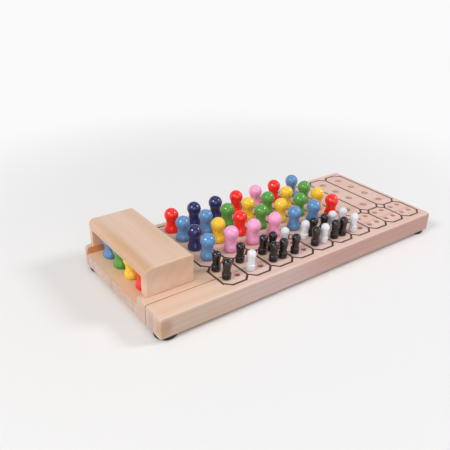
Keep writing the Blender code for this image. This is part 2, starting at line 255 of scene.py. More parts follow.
ROWS = 10
FILLED_ROWS = 7
HOLES = 4
first_peg = middle(peg_node(1, 1))
last_peg = middle(peg_node(FILLED_ROWS, HOLES))
ROW_PITCH = (last_peg.x - first_peg.x) / (FILLED_ROWS - 1)
PEG_PITCH = (last_peg.y - first_peg.y) / (HOLES - 1)
row_places = [first_peg.x + row * ROW_PITCH for row in range(ROWS)]
hole_places = [first_peg.y + hole * PEG_PITCH for hole in range(HOLES)]

score_far_left = middle("row3_score_1_black")
score_near_right = middle("row3_score_3_black")
SCORE_PITCH_X = score_near_right.x - score_far_left.x
SCORE_PITCH_Y = score_far_left.y - score_near_right.y
first_score = Vector((score_far_left.x - 2 * ROW_PITCH, score_near_right.y, 0))
print("rows every", round(ROW_PITCH / MM, 2), "mm, holes every", round(PEG_PITCH / MM, 2), "mm")

# %% [markdown]
# ## The board
# A board like this is glued up from staves, planed, cut square, and its edges are eased with a router.
# We start from one box. Its four upright corners are rounded first, with the larger radius, and then the
# rims, so that the roundings blend at the corners as the router leaves them. The rim of the top is felt by
# every hand and gets the larger radius, and the bottom is only broken lightly.

# %% Make the blank and ease its edges
CORNER_RADIUS = 2.7 * MM
TOP_RIM_RADIUS = 2.1 * MM
BOTTOM_RIM_RADIUS = 1.2 * MM
BOARD_GAP_HALF = 0.10 * MM

board = add_block("board", board_low, board_high)
edit(board, "EDGE")
pick(board, is_upright)
round_edges(CORNER_RADIUS, 8)
for level, radius in ((board_high.z, TOP_RIM_RADIUS), (board_low.z, BOTTOM_RIM_RADIUS)):
    rim = pick_only(board, "EDGE", lambda e: all(abs(c.z - level) < NEAR_ENOUGH for c in corners_of(e)))
    round_edges(radius, 5)
    print(rim, "rim edges rounded at height", round(level / MM, 1), "mm")
leave_edit()

# %% [markdown]
# ## The recess for the code
# At the left end a shallow tray is routed into the board, open to the left, and the four code pegs stand
# in it. A router bit is round, so the two inner corners of the tray are round too. The lip where the tray
# runs out of the board is eased, and so are the edges of its walls.

# %% Rout the tray
RECESS_DEPTH = 6.6 * MM
COVER_WALL = 7.0 * MM
RECESS_SIDE_STEP = 1.4 * MM
RECESS_BACK_LEDGE = 4.0 * MM
BIT_RADIUS = 4.0 * MM
LIP_RADIUS = 1.4 * MM
WALL_EASE = 0.6 * MM
OVERRUN = 4.0 * MM

cover_low, cover_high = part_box("cover")
recess_floor = BOARD_TOP - RECESS_DEPTH
recess_right = cover_high.x - COVER_WALL - RECESS_BACK_LEDGE
recess_near = cover_low.y + COVER_WALL - RECESS_SIDE_STEP
recess_far = cover_high.y - COVER_WALL + RECESS_SIDE_STEP

router = add_block(
    "router_path",
    (board_low.x - OVERRUN, recess_near, recess_floor),
    (recess_right, recess_far, BOARD_TOP + OVERRUN),
)
edit(router, "EDGE")
pick(router, lambda e: is_upright(e) and corners_of(e)[0].x > recess_right - NEAR_ENOUGH)
round_edges(BIT_RADIUS, 10)
leave_edit()
carve(board, router)
discard(router)


def in_tray_outline(point):
    """Whether a point lies within the tray's outline, seen from above."""
    across = recess_near - NEAR_ENOUGH < point.y < recess_far + NEAR_ENOUGH
    return across and point.x < recess_right + NEAR_ENOUGH


def is_recess_wall(face):
    """A face of the tray's wall: upright, inside the tray's outline, above its floor."""
    centre = face.calc_center_median()
    off_end = centre.x > board_low.x + NEAR_ENOUGH
    upright = abs(face.normal.z) < UPRIGHT_TILT
    return in_tray_outline(centre) and upright and off_end and centre.z > recess_floor


def is_lip(edge):
    """The edge where the tray's floor runs out of the board's left end."""
    return all(
        abs(corner.z - recess_floor) < NEAR_ENOUGH and abs(corner.x - board_low.x) < NEAR_ENOUGH
        for corner in corners_of(edge)
    )


def is_wall_edge(edge):
    """An outer edge of the tray's wall: a wall face on one side only, and off the floor."""
    walls = [is_recess_wall(face) for face in edge.link_faces]
    above_floor = max(corner.z for corner in corners_of(edge)) > recess_floor + NEAR_ENOUGH
    return sum(walls) == 1 and above_floor


edit(board, "EDGE")
print(pick(board, is_wall_edge), "edges round the tray's walls eased")
round_edges(WALL_EASE, 3)
print(pick_only(board, "EDGE", is_lip), "lip edges rounded")
round_edges(LIP_RADIUS, 5)
leave_edit()

# %% [markdown]
# ## The holes
# Every hole is drilled from above and goes only part of the way down. A drill leaves a slight flare at the
# mouth where the fibres are sanded off. We model one drill of each size: a cylinder up to the flare, then
# its top face pushed up and widened, then pushed up clear of the board. Copies of it stand at all the
# holes, and one cut with the joined drills makes them all.

# %% Drill the board
PEG_HOLE_DIAMETER = 7.0 * MM
PEG_HOLE_DEPTH = 5.4 * MM
SCORE_HOLE_DIAMETER = 4.4 * MM
SCORE_HOLE_DEPTH = 6.0 * MM
PEG_MOUTH_FLARE = 0.30 * MM
SCORE_MOUTH_FLARE = 0.60 * MM


def make_drill(name, diameter, depth, flare, sides):
    """A drill whose mouth would lie at the origin, pointing down."""
    drill = add_disc(name, diameter / 2, depth - flare, sides, -depth)
    edit(drill, "FACE")
    pick(drill, lambda face: face.normal.z > 0.9)
    bpy.ops.mesh.extrude_region_move(TRANSFORM_OT_translate={"value": (0, 0, flare)})
    wider = 1 + flare / (diameter / 2)
    bpy.ops.transform.resize(value=(wider, wider, 1), center_override=(0, 0, 0))
    bpy.ops.mesh.extrude_region_move(TRANSFORM_OT_translate={"value": (0, 0, OVERRUN)})
    leave_edit()
    return drill


def copy_at(pattern, name, place):
    """A copy of a piece with its own mesh, moved to its place."""
    piece = pattern.copy()
    piece.data = pattern.data.copy()
    piece.name = name
    piece.data.transform(place if isinstance(place, Matrix) else Matrix.Translation(place))
    bpy.context.scene.collection.objects.link(piece)
    return piece


def join(pieces, name):
    """Join several objects into one."""
    start_clean()
    for piece in pieces:
        piece.select_set(True)
    bpy.context.view_layer.objects.active = pieces[0]
    bpy.ops.object.join()
    pieces[0].name = name
    return pieces[0]


big_drill = make_drill("big_drill", PEG_HOLE_DIAMETER, PEG_HOLE_DEPTH, PEG_MOUTH_FLARE, 40)
small_drill = make_drill("small_drill", SCORE_HOLE_DIAMETER, SCORE_HOLE_DEPTH, SCORE_MOUTH_FLARE, 32)
code_x = middle("code_peg_1_red").x
hole_mouths = [Vector((x, y, BOARD_TOP)) for x in row_places for y in hole_places]
code_mouths = [Vector((code_x, y, recess_floor)) for y in hole_places]
score_mouths = [
    Vector((
        first_score.x + row * ROW_PITCH + along * SCORE_PITCH_X,
        first_score.y + across * SCORE_PITCH_Y,
        BOARD_TOP,
    ))
    for row in range(ROWS)
    for along in range(2)
    for across in range(2)
]
drills = [copy_at(big_drill, "drill", place) for place in hole_mouths + code_mouths]
drills += [copy_at(small_drill, "drill", place) for place in score_mouths]
all_drills = join(drills, "all_drills")
carve(board, all_drills)
for tool in (big_drill, small_drill, all_drills):
    discard(tool)
print(len(drills), "holes drilled,", len(board.data.polygons), "faces")

# %% [markdown]
# ## Two staves
# One glue line shows open along the near side, so the board is two pieces. Bisecting a copy of the board
# on each side of that line, and filling the cut, gives both of them with the holes already in place. The
# edges along the cut are eased a little, so the joint becomes a fine groove with a hair of air in it.

# %% Split the board at the glue line
JOINT_EASE = 0.22 * MM
glue_line = (panel_low.y + strip_high.y) / 2


def split_off(name, plane_y, keep_far):
    """A copy of the board, cut at an upright plane and kept on one side, with the cut's edges eased."""
    stave = copy_at(board, name, Matrix.Identity(4))
    edit(stave, "FACE")
    bpy.ops.mesh.select_all(action="SELECT")
    bpy.ops.mesh.bisect(
        plane_co=(0, plane_y, 0),
        plane_no=(0, 1, 0),
        use_fill=True,
        clear_inner=keep_far,
        clear_outer=not keep_far,
    )
    pick_only(stave, "EDGE", lambda e: all(abs(c.y - plane_y) < NEAR_ENOUGH for c in corners_of(e)))
    round_edges(JOINT_EASE, 2)
    leave_edit()
    shade_round(stave, 35)
    return stave


panel = split_off("panel_finished", glue_line + BOARD_GAP_HALF, True)
strip = split_off("edge_strip_finished", glue_line - BOARD_GAP_HALF, False)
discard(board)
print("panel", len(panel.data.polygons), "faces, strip", len(strip.data.polygons), "faces")

# %% [markdown]
# ## Helpers for finishes
# A finish is a small tree of nodes. One helper adds a node and links its inputs, and the others shorten
# the kinds that come up again and again: sums, products, mixes of two colours, soft steps and noise.

# %% Shorthand for shader nodes


def new_finish(name, roughness, level=0.5):
    """An empty material and its shader, with the values that are the same all over set on the shader."""
    material = bpy.data.materials.new(name)
    material.use_nodes = True
    shader = material.node_tree.nodes["Principled BSDF"]
    shader.inputs["Roughness"].default_value = roughness
    shader.inputs["Specular IOR Level"].default_value = level
    return material, material.node_tree, shader


def add_node(tree, kind, inputs=None, **settings):
    """Add a node, set its properties, and set or link its inputs by name or number."""
    made = tree.nodes.new(kind)
    for name, value in settings.items():
        setattr(made, name, value)
    for key, value in (inputs or {}).items():
        if isinstance(value, bpy.types.NodeSocket):
            tree.links.new(value, made.inputs[key])
        else:
            made.inputs[key].default_value = value
    return made


def maths(tree, operation, first, second=0.0, third=0.0):
    """The result of one Math node."""
    made = add_node(tree, "ShaderNodeMath", {0: first, 1: second, 2: third}, operation=operation)
    return made.outputs[0]


def times(tree, first, *others):
    """The product of several values."""
    for other in others:
        first = maths(tree, "MULTIPLY", first, other)
    return first


def own_place(tree):
    """The coordinates of the piece itself, which don't change when it is carried about."""
    return add_node(tree, "ShaderNodeTexCoord").outputs["Object"]


def parts_of(tree, vector):
    """The three parts of a vector."""
    return add_node(tree, "ShaderNodeSeparateXYZ", {0: vector}).outputs


def mix_colours(tree, factor, first, second, way="MIX"):
    """The colour of one Mix node."""
    inputs = {0: factor, 6: first, 7: second}
    return add_node(tree, "ShaderNodeMix", inputs, data_type="RGBA", blend_type=way).outputs[2]


def smooth_step(tree, value, low, high, result_low=0.0, result_high=1.0):
    """A soft step from one value to another."""
    inputs = {0: value, 1: low, 2: high, 3: result_low, 4: result_high}
    return add_node(tree, "ShaderNodeMapRange", inputs, interpolation_type="SMOOTHSTEP").outputs[0]


def stretched_noise(tree, place, stretch, detail=2.0, roughness=0.5):
    """Noise whose grains have a different size along each axis, given as grains to the metre."""
    scaled = add_node(tree, "ShaderNodeMapping", {"Vector": place, "Scale": stretch}).outputs[0]
    inputs = {"Vector": scaled, "Scale": 1.0, "Detail": detail, "Roughness": roughness}
    return add_node(tree, "ShaderNodeTexNoise", inputs).outputs[0]


# %% [markdown]
# ## Pale wood
# The board is a pale, close-grained hardwood with only a thin coat of wax on it. What makes wood look like
# wood is that its pattern is solid: growth rings are cylinders round the heart of the tree, so they show
# as long stripes on the face of a stave and as arcs on its end. A wave texture in rings, laid out along
# the grain, gives both from one formula. Fibres and the short flecks that pale hardwoods show are noise
# that is stretched along the grain. Each stave of the board comes from another part of the log, so a
# random shift for each stave moves its pattern.

# %% Mix the wood
HEART_DEPTH = 62 * MM
WAVE_RADIANS = 20.0
PALE_WOOD = (0.815, 0.590, 0.460, 1)
MID_WOOD = (0.760, 0.520, 0.385, 1)
LATE_WOOD = (0.630, 0.400, 0.262, 1)
FLECK_WOOD = (0.540, 0.330, 0.210, 1)
# Darkens the faces at the board's ends: partly the end grain's own tone, partly painted shade.
END_GRAIN_AND_SHADE = (0.88, 0.91, 0.98, 1)


def wood_pattern(tree, place, heart, tilt, flip_axes, rings_every, ring_strength, pale, mid):
    """The colour of solid wood, the height of its fibres, and how rough it is, at a place."""
    turned = (tilt[0], tilt[1], tilt[2] + (math.pi / 2 if flip_axes else 0.0))
    along = add_node(
        tree, "ShaderNodeMapping", {"Vector": place, "Location": heart, "Rotation": turned}
    ).outputs[0]
    ring_place = add_node(tree, "ShaderNodeMapping", {"Vector": along, "Scale": (0.14, 1, 1)}).outputs[0]
    rings = add_node(
        tree,
        "ShaderNodeTexWave",
        {
            "Vector": ring_place,
            "Scale": math.tau / WAVE_RADIANS / rings_every,
            "Distortion": 3.4,
            "Detail": 2.0,
            "Detail Scale": 0.55,
            "Detail Roughness": 0.45,
        },
        wave_type="RINGS",
        rings_direction="X",
        wave_profile="SAW",
    ).outputs[1]
    late = smooth_step(tree, rings, 0.35, 1.0)
    fibres = stretched_noise(tree, along, (18, 520, 520), 3.0, 0.6)
    hairs = stretched_noise(tree, along, (70, 2400, 2400), 2.0, 0.5)
    blotches = stretched_noise(tree, along, (5, 26, 26), 2.0, 0.5)
    flecks = smooth_step(tree, stretched_noise(tree, along, (330, 2600, 2600), 1.0, 0.4), 0.63, 0.72)

    warm = smooth_step(tree, blotches, 0.32, 0.66)
    streaks = maths(tree, "MULTIPLY_ADD", fibres, 1.0, -0.28)
    base = mix_colours(tree, warm, pale, mid)
    base = mix_colours(tree, times(tree, late, ring_strength), base, LATE_WOOD)
    base = mix_colours(tree, times(tree, streaks, 0.42), base, LATE_WOOD)
    base = mix_colours(tree, times(tree, flecks, 0.16), base, FLECK_WOOD)
    height = maths(tree, "MULTIPLY_ADD", hairs, 0.35, fibres)
    height = maths(tree, "MULTIPLY_ADD", flecks, -0.25, height)
    rough = maths(tree, "MULTIPLY_ADD", fibres, 0.18, 0.42)
    return base, height, rough


def facing_along(tree, axis):
    """1 on the faces that look along an axis, either way, and 0 on those that look across it."""
    facing = add_node(tree, "ShaderNodeTexCoord").outputs["Normal"]
    return smooth_step(tree, maths(tree, "ABSOLUTE", parts_of(tree, facing)[axis]), 0.55, 0.95)


def tint(tree, amount, colour, shade):
    """Multiply a colour by a tint, by some amount."""
    return mix_colours(tree, amount, colour, shade, "MULTIPLY")


def fibre_bump(tree, shader, height, strength=0.12):
    """Let the fibres catch the light a little."""
    bump = add_node(tree, "ShaderNodeBump", {"Height": height, "Strength": strength, "Distance": 0.0002})
    tree.links.new(bump.outputs[0], shader.inputs["Normal"])


# %% [markdown]
# ## The printed cells
# Dark lines are printed on the board: a long cell with cut corners round each row of four holes, and a
# small one round each field of score holes. They are ink, so they are drawn in the wood's own finish and
# not modelled. For one cell the outline is simple. Measure how far a point lies from the cell's middle
# along the board and across it. The point is outside if either distance passes its half width, or if their
# sum passes the cut corner. The greatest of the three differences is the distance to the outline, and the
# ink lies where that is less than half a line. A modulo repeats the cell from row to row.

# %% Draw the cells as a distance
FIELD_END = 12.5 * MM
SCORE_INSET_NEAR = 10.0 * MM
CUT_CORNER = 5.5 * MM
LINE_WIDTH = 1.90 * MM
LINE_SOFTNESS = 0.08 * MM
INK_BLEED = 0.16 * MM
PRINT_DEPTH = 0.05 * MM
INK = (0.046, 0.012, 0.008, 1)

cells_left = row_places[0] - ROW_PITCH / 2
cells_right = row_places[-1] + ROW_PITCH / 2
long_cell = (hole_places[0] - FIELD_END, hole_places[-1] + FIELD_END)
score_cell = (first_score.y - SCORE_INSET_NEAR, long_cell[0])


def cell_outline(tree, across_row, y, span):
    """How far a point lies from the outline of the cells between two sides of the board."""
    half_row, half_span = ROW_PITCH / 2, (span[1] - span[0]) / 2
    from_middle = maths(tree, "ABSOLUTE", maths(tree, "SUBTRACT", y, (span[0] + span[1]) / 2))
    past_row = maths(tree, "SUBTRACT", across_row, half_row)
    past_end = maths(tree, "SUBTRACT", from_middle, half_span)
    both = maths(tree, "ADD", past_row, past_end)
    past_corner = times(tree, maths(tree, "ADD", both, CUT_CORNER), math.sqrt(0.5))
    outside = maths(tree, "MAXIMUM", maths(tree, "MAXIMUM", past_row, past_end), past_corner)
    return maths(tree, "ABSOLUTE", outside)


def printed_cells(tree, place):
    """Where the ink lies, from 0 to 1."""
    x, y, z = parts_of(tree, place)
    along = maths(tree, "MODULO", maths(tree, "SUBTRACT", x, cells_left - ROW_PITCH), ROW_PITCH)
    across_row = maths(tree, "ABSOLUTE", maths(tree, "SUBTRACT", along, ROW_PITCH / 2))
    near_line = maths(
        tree,
        "MINIMUM",
        cell_outline(tree, across_row, y, long_cell),
        cell_outline(tree, across_row, y, score_cell),
    )
    bleed = times(tree, stretched_noise(tree, place, (900, 1800, 900), 2.0, 0.6), INK_BLEED)
    edge = maths(tree, "ADD", near_line, maths(tree, "SUBTRACT", bleed, INK_BLEED / 2))
    half_line = LINE_WIDTH / 2
    ink = smooth_step(tree, edge, half_line - LINE_SOFTNESS, half_line + LINE_SOFTNESS, 1.0, 0.0)
    middle_x = (cells_left + cells_right) / 2
    half_print = (cells_right - cells_left) / 2 + half_line
    from_middle = maths(tree, "ABSOLUTE", maths(tree, "SUBTRACT", x, middle_x))
    in_print = maths(tree, "LESS_THAN", from_middle, half_print)
    on_top = maths(tree, "GREATER_THAN", z, BOARD_TOP - PRINT_DEPTH)
    return times(tree, ink, in_print, on_top)


# %% [markdown]
# ## The board's finish
# The board's wood is the solid pattern, with a shift that changes at each glue joint, the end grain a
# little darker, partly in its own tone and partly with painted shade, and crossed by rays, and the ink over
# it. The long sides carry painted shade, darker and pinker towards the right end. The near stave is browner
# in a patch at its left corner, and the wood turns pinker away from there. The tray's floor is lighter and
# yellower: partly fresh, unwaxed wood, partly painted light. The ink is a thin film on open fibres: some of
# the grain shows through, so it is mixed at a little less than full strength. The faces inside the holes and
# round the tray get materials of their own, because a cutter leaves the wood torn and rough. The walls
# round the tray and the small holes are darker and redder with painted shade.

# %% Give the board its finish
STAVE_JOINTS = (glue_line, -18.0 * MM, 13.2 * MM, 31.2 * MM)
BOARD_RINGS = 4.8 * MM
BORE_PALE = (0.780, 0.590, 0.520, 1)
BORE_DARK = (0.620, 0.430, 0.360, 1)
# The small holes are darker and redder than the big ones: painted shade in the narrow holes.
SMALL_HOLE_SHADE_PALE = (0.780, 0.460, 0.400, 1)
SMALL_HOLE_SHADE_DARK = (0.580, 0.300, 0.250, 1)
# The tray's walls are darker and redder than the cut wood alone: painted shade in the recess.
TRAY_WALL_SHADED_PALE = (0.820, 0.370, 0.170, 1)
TRAY_WALL_SHADED_DARK = (0.600, 0.240, 0.100, 1)
# Painted shade on the long sides of the board, darker and pinker towards its right end.
SIDE_SHADE_COOL = (0.730, 0.755, 0.800, 1)
SIDE_SHADE_WARM = (0.685, 0.592, 0.605, 1)
SIDE_SHADE_TURNS = (-40 * MM, 25 * MM)
PINKER = (1.0, 1.0, 1.14, 1)
PINKER_FROM = (-110 * MM, -60 * MM)
RAY_SHADE = (0.83, 0.86, 0.94, 1)
# A browner patch at the near left corner, on the faces off the top.
BROWN_PATCH = (0.84, 0.70, 0.56, 1)
BROWN_PATCH_MIDDLE = (board_low.x + 3.5 * MM, board_low.y, BOARD_TOP - 9 * MM)
BROWN_PATCH_REACH = (3 * MM, 10 * MM)
# The tray's floor is lighter and yellower: partly fresh, unwaxed wood, partly painted light.
FRESH_AND_LIT_WOOD = (0.900, 0.625, 0.400, 1)
FRESH_FROM = (BOARD_TOP - 1.2 * MM, BOARD_TOP - 0.4 * MM)
LIP_FADE = (board_low.x + 0.1 * MM, board_low.x + 1.0 * MM)
TRAY_MARGIN = 0.1 * MM
GLUE = (0.300, 0.130, 0.065, 1)
GLUE_STAIN = (0.2 * MM, 0.55 * MM)
STAVE_SHIFT = (0.9, 0.05, 0.022)
STAVE_TILT = (0.0, 0.012, 0.018)


def in_tray(tree, place):
    """1 in the routed tray, where the wood is freshly cut, never waxed and lightened with painted light, and
    0 elsewhere.
    """
    x, y, z = parts_of(tree, place)
    below = smooth_step(tree, z, *FRESH_FROM, 1.0, 0.0)
    left = maths(tree, "LESS_THAN", x, recess_right + TRAY_MARGIN)
    off_end = smooth_step(tree, x, *LIP_FADE)
    near = maths(tree, "GREATER_THAN", y, recess_near - TRAY_MARGIN)
    far = maths(tree, "LESS_THAN", y, recess_far + TRAY_MARGIN)
    return times(tree, below, left, near, far, off_end)


def make_board_wood():
    material, tree, shader = new_finish("board_wood", 0.5, 0.35)
    place = own_place(tree)
    x, y = parts_of(tree, place)[:2]
    stave = 0.0
    for joint in STAVE_JOINTS:
        stave = maths(tree, "ADD", maths(tree, "GREATER_THAN", y, joint), stave)
    chance = add_node(tree, "ShaderNodeTexWhiteNoise", {"W": stave}, noise_dimensions="1D")
    random_shift = {0: chance.outputs["Color"], 1: STAVE_SHIFT, 2: place}
    shifted = add_node(tree, "ShaderNodeVectorMath", random_shift, operation="MULTIPLY_ADD").outputs[0]
    heart = (0, 0, HEART_DEPTH)
    colour, height, rough = wood_pattern(
        tree, shifted, heart, STAVE_TILT, False, BOARD_RINGS, 0.26, PALE_WOOD, MID_WOOD
    )
    colour = mix_colours(tree, times(tree, chance.outputs["Value"], 0.16), colour, LATE_WOOD)
    colour = tint(tree, smooth_step(tree, x, *PINKER_FROM), colour, PINKER)
    on_end = facing_along(tree, 0)
    # Painted shade on the end faces, together with the end grain's own darker tone.
    colour = tint(tree, on_end, colour, END_GRAIN_AND_SHADE)
    rays = smooth_step(tree, stretched_noise(tree, place, (20, 110, 9), 1.0, 0.4), 0.48, 0.64)
    colour = tint(tree, times(tree, rays, on_end), colour, RAY_SHADE)
    # Painted shade on the faces that look along Y, turning darker and pinker towards the right.
    side = mix_colours(tree, smooth_step(tree, x, *SIDE_SHADE_TURNS), SIDE_SHADE_COOL, SIDE_SHADE_WARM)
    colour = tint(tree, facing_along(tree, 1), colour, side)
    # A browner patch at the near left corner, on the faces off the top.
    to_patch = {0: place, 1: BROWN_PATCH_MIDDLE}
    from_patch = add_node(tree, "ShaderNodeVectorMath", to_patch, operation="DISTANCE").outputs["Value"]
    off_top = maths(tree, "SUBTRACT", 1.0, facing_along(tree, 2))
    brown_patch = times(tree, smooth_step(tree, from_patch, *BROWN_PATCH_REACH, 0.9, 0.0), off_top)
    colour = tint(tree, brown_patch, colour, BROWN_PATCH)
    # Fresh, unwaxed wood in the tray, lightened with painted light.
    colour = mix_colours(tree, times(tree, in_tray(tree, place), 0.75), colour, FRESH_AND_LIT_WOOD)
    from_joint = maths(tree, "ABSOLUTE", maths(tree, "SUBTRACT", y, glue_line))
    stain = smooth_step(tree, from_joint, *GLUE_STAIN, 0.85, 0.0)
    fading = smooth_step(tree, x, cells_left, row_places[1], 1.0, 0.3)
    colour = mix_colours(tree, times(tree, stain, fading), colour, GLUE)
    ink = printed_cells(tree, place)
    film = times(tree, ink, maths(tree, "MULTIPLY_ADD", height, -0.06, 1.0))
    colour = mix_colours(tree, film, colour, INK)
    tree.links.new(colour, shader.inputs["Base Color"])
    tree.links.new(maths(tree, "MULTIPLY_ADD", ink, -0.08, rough), shader.inputs["Roughness"])
    fibre_bump(tree, shader, height)
    return material


def make_torn_wood(name, stretch, pale, dark):
    """Bare wood as a cutting tool leaves it: rough, unwaxed and browner, in given tones, some with painted
    shade.
    """
    material, tree, shader = new_finish(name, 0.85, 0.2)
    place = own_place(tree)
    torn = stretched_noise(tree, place, stretch, 3.0, 0.7)
    colour = mix_colours(tree, torn, pale, dark)
    tree.links.new(colour, shader.inputs["Base Color"])
    fibre_bump(tree, shader, torn, 0.4)
    return material


board_wood = make_board_wood()
DRILL_MARKS = (2200, 2200, 700)
MILL_MARKS = (300, 300, 900)
bored_wood = make_torn_wood("bored_wood", DRILL_MARKS, BORE_PALE, BORE_DARK)
# Painted shade darkens the small holes.
small_hole_shaded_wood = make_torn_wood("small_hole_shaded_wood", DRILL_MARKS, SMALL_HOLE_SHADE_PALE, SMALL_HOLE_SHADE_DARK)
# Painted shade darkens the tray's walls.
tray_wall_shaded_wood = make_torn_wood("tray_wall_shaded_wood", MILL_MARKS, TRAY_WALL_SHADED_PALE, TRAY_WALL_SHADED_DARK)
big_holes = [(m, PEG_HOLE_DIAMETER / 2 + PEG_MOUTH_FLARE) for m in hole_mouths + code_mouths]
small_holes = [(m, SCORE_HOLE_DIAMETER / 2 + SCORE_MOUTH_FLARE) for m in score_mouths]


def is_inside(holes, centre):
    """Whether a face lies below the mouth of one of some holes and within its bore."""
    return any(
        centre.z < mouth.z - NEAR_ENOUGH and (centre.xy - mouth.xy).length < radius + NEAR_ENOUGH
        for mouth, radius in holes
        if centre.z > mouth.z - SCORE_HOLE_DEPTH - NEAR_ENOUGH
    )


def is_tray_wall(face):
    """Whether a finished face belongs to the upright wall round the tray."""
    centre = face.center
    between = recess_floor + NEAR_ENOUGH < centre.z < BOARD_TOP - WALL_EASE
    off_end = centre.x > board_low.x + WALL_EASE
    return in_tray_outline(centre) and between and abs(face.normal.z) < UPRIGHT_TILT and off_end


def finish_of(face):
    """The number of the finish that a face of the board takes."""
    tests = (is_inside(big_holes, face.center), is_inside(small_holes, face.center), is_tray_wall(face))
    return next((number for number, passed in enumerate(tests, 1) if passed), 0)


for stave, node in ((panel, "board_panel"), (strip, "board_edge_strip")):
    stave.data.materials.clear()
    for finish in (board_wood, bored_wood, small_hole_shaded_wood, tray_wall_shaded_wood):
        stave.data.materials.append(finish)
    for face in stave.data.polygons:
        face.material_index = finish_of(face)
    finish_piece(stave, "board", [node])
    counts = [sum(face.material_index == number for face in stave.data.polygons) for number in range(4)]
    print(stave.name, "faces by finish:", counts)

# %% [markdown]
# ## The cover
# The cover is milled from one block: a bull nose along its front top edge, where fingers lift it, a softer
# rounding along the back and the far end, and a firm small one elsewhere. It is hollow from below and
# open at the front, under a deep lintel. We round the block first and hollow it afterwards, so that the
# inner corners follow the milling bit.

# %% Shape the cover
FRONT_WALL = 3.0 * MM
LINTEL_DEPTH = 8.6 * MM
COVER_TOP_THICKNESS = 3.4 * MM
NOSE_RADIUS = 4.4 * MM
SOFT_EDGE = 3.0 * MM
FIRM_EDGE = 1.3 * MM
BIT_CORNER = 2.2 * MM
MOUTH_EASE = 0.5 * MM

cover = add_block("cover_finished", cover_low, cover_high)
edit(cover, "EDGE")


def is_nose(edge):
    """The top edge at the front."""
    on_top = all(corner.z > cover_high.z - NEAR_ENOUGH for corner in corners_of(edge))
    return on_top and all(corner.x < cover_low.x + NEAR_ENOUGH for corner in corners_of(edge))


pick(cover, is_nose)
round_edges(NOSE_RADIUS, 12)


def is_sharp(edge):
    """A square edge of the block that isn't part of its bottom rim."""
    off_rim = max(corner.z for corner in corners_of(edge)) > cover_low.z + NEAR_ENOUGH
    return off_rim and edge.calc_face_angle(0.0) > math.radians(45)


def is_soft(edge):
    """A sharp edge of the far end, or the one along the top at the back."""
    on_far_end = all(corner.y > cover_high.y - NEAR_ENOUGH for corner in corners_of(edge))
    at_back = all(corner.x > cover_high.x - NEAR_ENOUGH for corner in corners_of(edge))
    on_top = all(corner.z > cover_high.z - NEAR_ENOUGH for corner in corners_of(edge))
    return is_sharp(edge) and (on_far_end or (at_back and on_top))


for wanted, radius in ((is_soft, SOFT_EDGE), (is_sharp, FIRM_EDGE)):
    print(pick_only(cover, "EDGE", wanted), "edges of the block rounded by", round(radius / MM, 1), "mm")
    round_edges(radius, 6)
leave_edit()

inner_low = Vector((cover_low.x + FRONT_WALL, cover_low.y + COVER_WALL, cover_low.z - OVERRUN))
inner_high = cover_high - Vector((COVER_WALL, COVER_WALL, COVER_TOP_THICKNESS))
chamber = add_block("chamber", inner_low, inner_high)
edit(chamber, "EDGE")
pick(chamber, is_upright)
round_edges(BIT_CORNER, 6)
leave_edit()
mouth = add_block(
    "mouth",
    (cover_low.x - OVERRUN, inner_low.y, cover_low.z - OVERRUN),
    ((inner_low.x + inner_high.x) / 2, inner_high.y, cover_high.z - LINTEL_DEPTH),
)
carve(cover, chamber)
carve(cover, mouth)
discard(chamber)
discard(mouth)


def is_mouth_edge(edge):
    """An edge of the opening in the front face, of the bottom rim, or under the lintel."""
    if edge.calc_face_angle_signed(0.0) < math.radians(60):
        return False
    corners = corners_of(edge)
    on_front = all(corner.x < cover_low.x + NEAR_ENOUGH for corner in corners)
    under_lintel = all(abs(corner.z - (cover_high.z - LINTEL_DEPTH)) < NEAR_ENOUGH for corner in corners)
    on_rim = all(corner.z < cover_low.z + NEAR_ENOUGH for corner in corners)
    return on_front or under_lintel or on_rim


edit(cover, "EDGE")
print(pick(cover, is_mouth_edge), "edges of the opening eased")
round_edges(MOUTH_EASE, 3)
leave_edit()
shade_round(cover, 35)
print("cover", len(cover.data.polygons), "faces")

# %% [markdown]
# ## The cover's finish
# The same wood, but its grain runs along the cover, which lies across the board. So the pattern is turned
# by a right angle and its end grain shows on the faces that look along Y. Those end faces carry painted
# light over the end grain's tone: lighter towards the bottom as painted bounce light, darker towards the
# top. This block was cut farther from the heart of the tree, so its rings are wide and faint and its tone
# is a little pinker. Amber bands follow the bull nose and the back, where the block runs into older wood.
# The hollow is bare, as the cutter left it, and its redder, darker tone is partly the milled wood and partly
# painted shade and painted warm bounced light.

# %% Give the cover its wood
COVER_RINGS = 10.0 * MM
COVER_HEART = (0.31, 0.045, 0.031)
COVER_TILT = (0.03, 0.02, 0.0)
COVER_PALE = (0.790, 0.595, 0.500, 1)
COVER_MID = (0.750, 0.540, 0.420, 1)
# Painted light on the cover's end faces, over the end grain's tone: lighter at the bottom, darker on top.
COVER_END_LIT_LOW = (0.99, 0.94, 0.90, 1)
COVER_END_SHADED_HIGH = (0.84, 0.77, 0.70, 1)
AMBER = (0.640, 0.395, 0.235, 1)
LOW_DOWN = (cover_low.z + 8 * MM, cover_low.z + 17 * MM)
END_LIGHT_FADES = (cover_low.z + 4 * MM, cover_low.z + 19 * MM)
BAND_WANDER = 4.0 * MM
AMBER_BANDS = (
    (1.8 * MM, 11.0 * MM, 1.10, 0 * MM, 75 * MM, 0.30),
    (35.0 * MM, 9.0 * MM, 0.42, 5 * MM, -34 * MM, 0.15),
)
# The hollow's tones: the bare milled wood, redder and darker with painted shade and painted bounced light.
HOLLOW_SHADED_PALE = (0.920, 0.540, 0.380, 1)
HOLLOW_SHADED_DARK = (0.780, 0.430, 0.290, 1)


